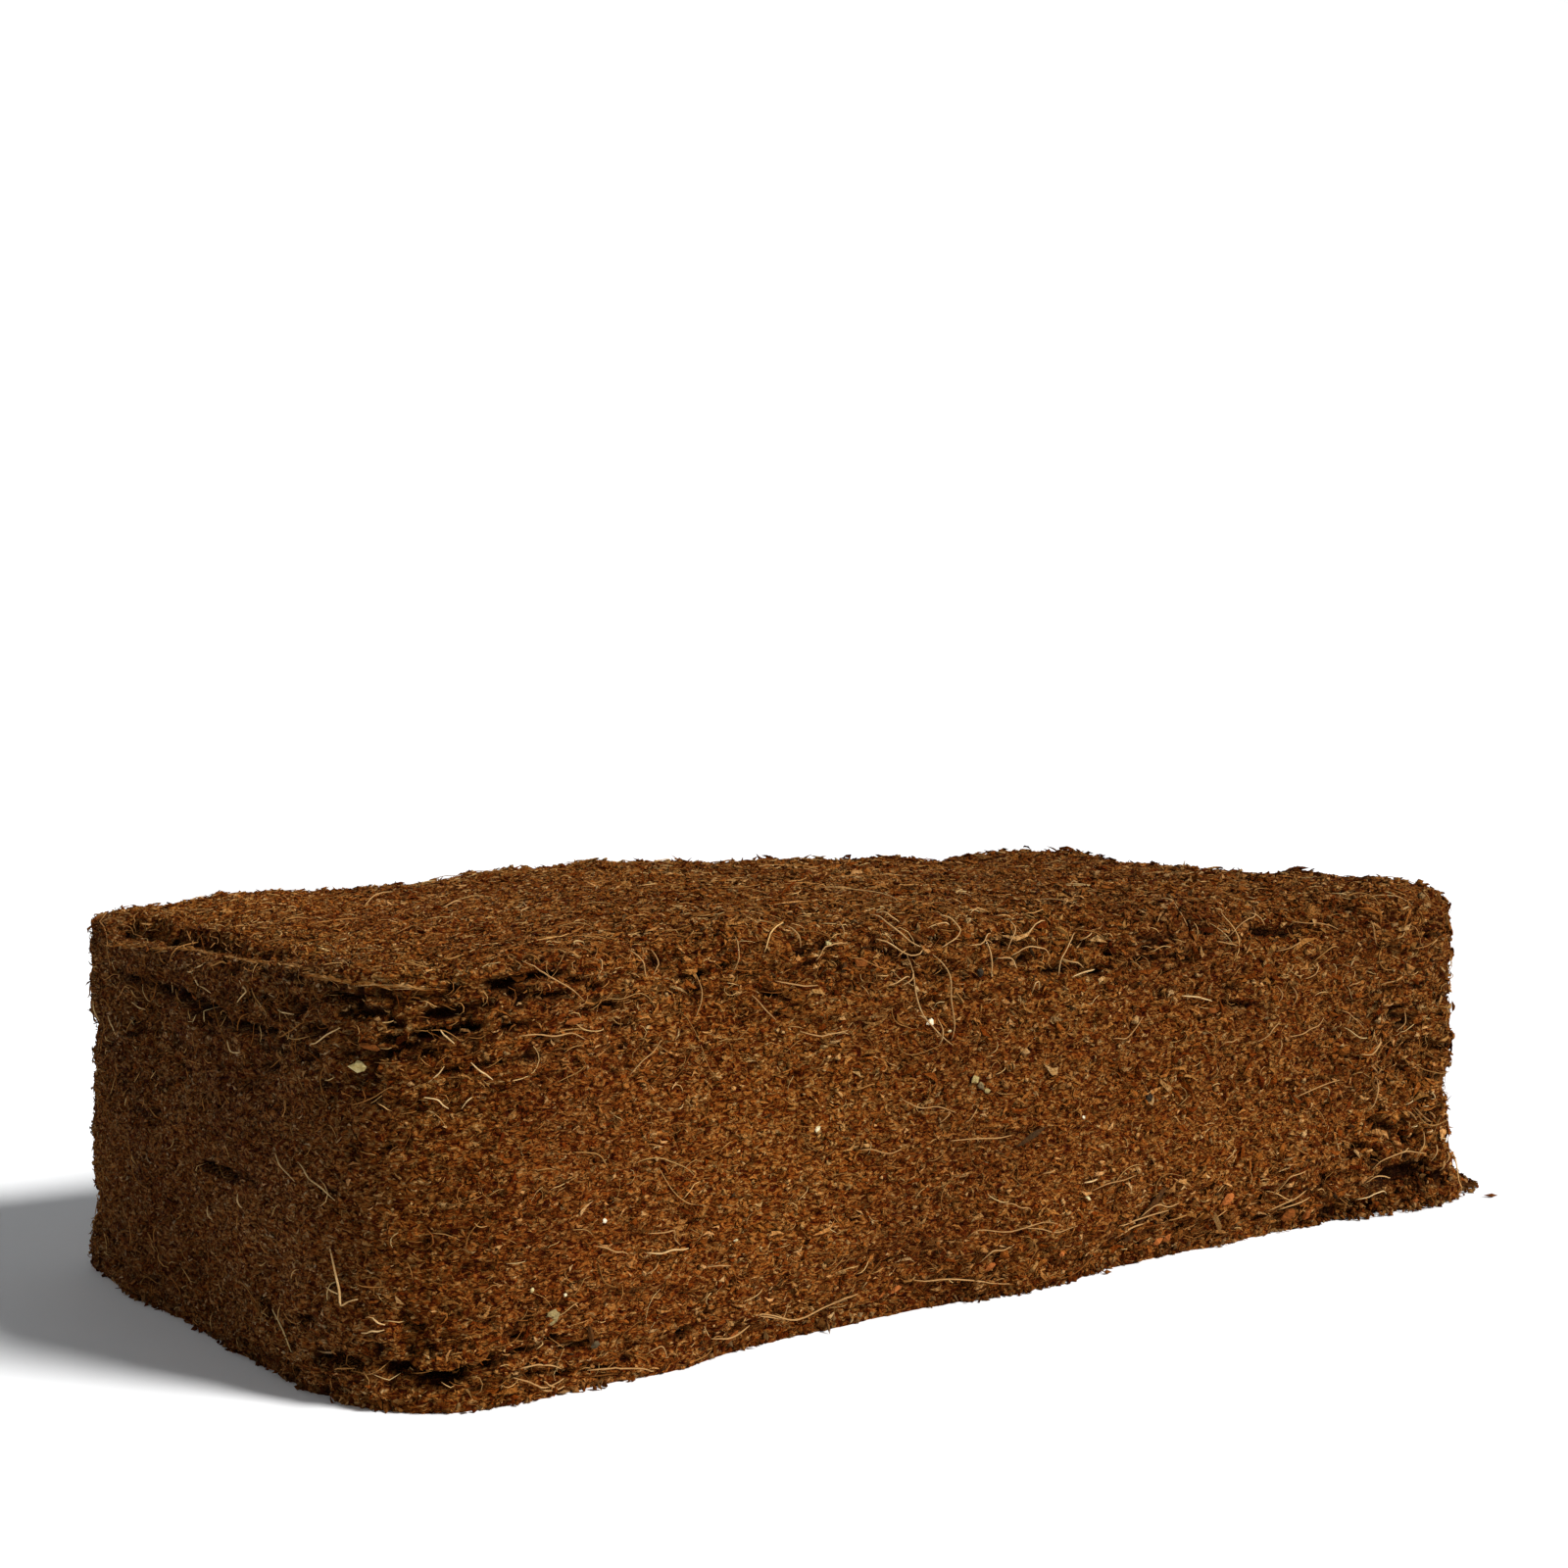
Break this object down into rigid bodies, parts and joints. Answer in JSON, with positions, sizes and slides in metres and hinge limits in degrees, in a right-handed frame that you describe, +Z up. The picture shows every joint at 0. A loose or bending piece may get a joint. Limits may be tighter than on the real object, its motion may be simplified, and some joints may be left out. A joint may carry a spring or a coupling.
{
  "type": "coconut coir bale",
  "caption": "Bare brick of pressed coconut coir: rough brown pith and fibre with a swollen top, one well-rounded corner, thin parting beds and fissures, and a flat base.",
  "frame": {"origin": "under the middle of the bale's box, on the plane of its base", "axes": "+X along the length, -Y the front, +Z up; the well-rounded upright corner is at -X, -Y"},
  "size_m": [0.2036, 0.1038, 0.0562],
  "materials": {
    "coir": "rough, matte pressed pith with loose straw-coloured fibre"
  },
  "bodies": {
    "root": {"coir_bale": "coir"}
  },
  "joints": []
}
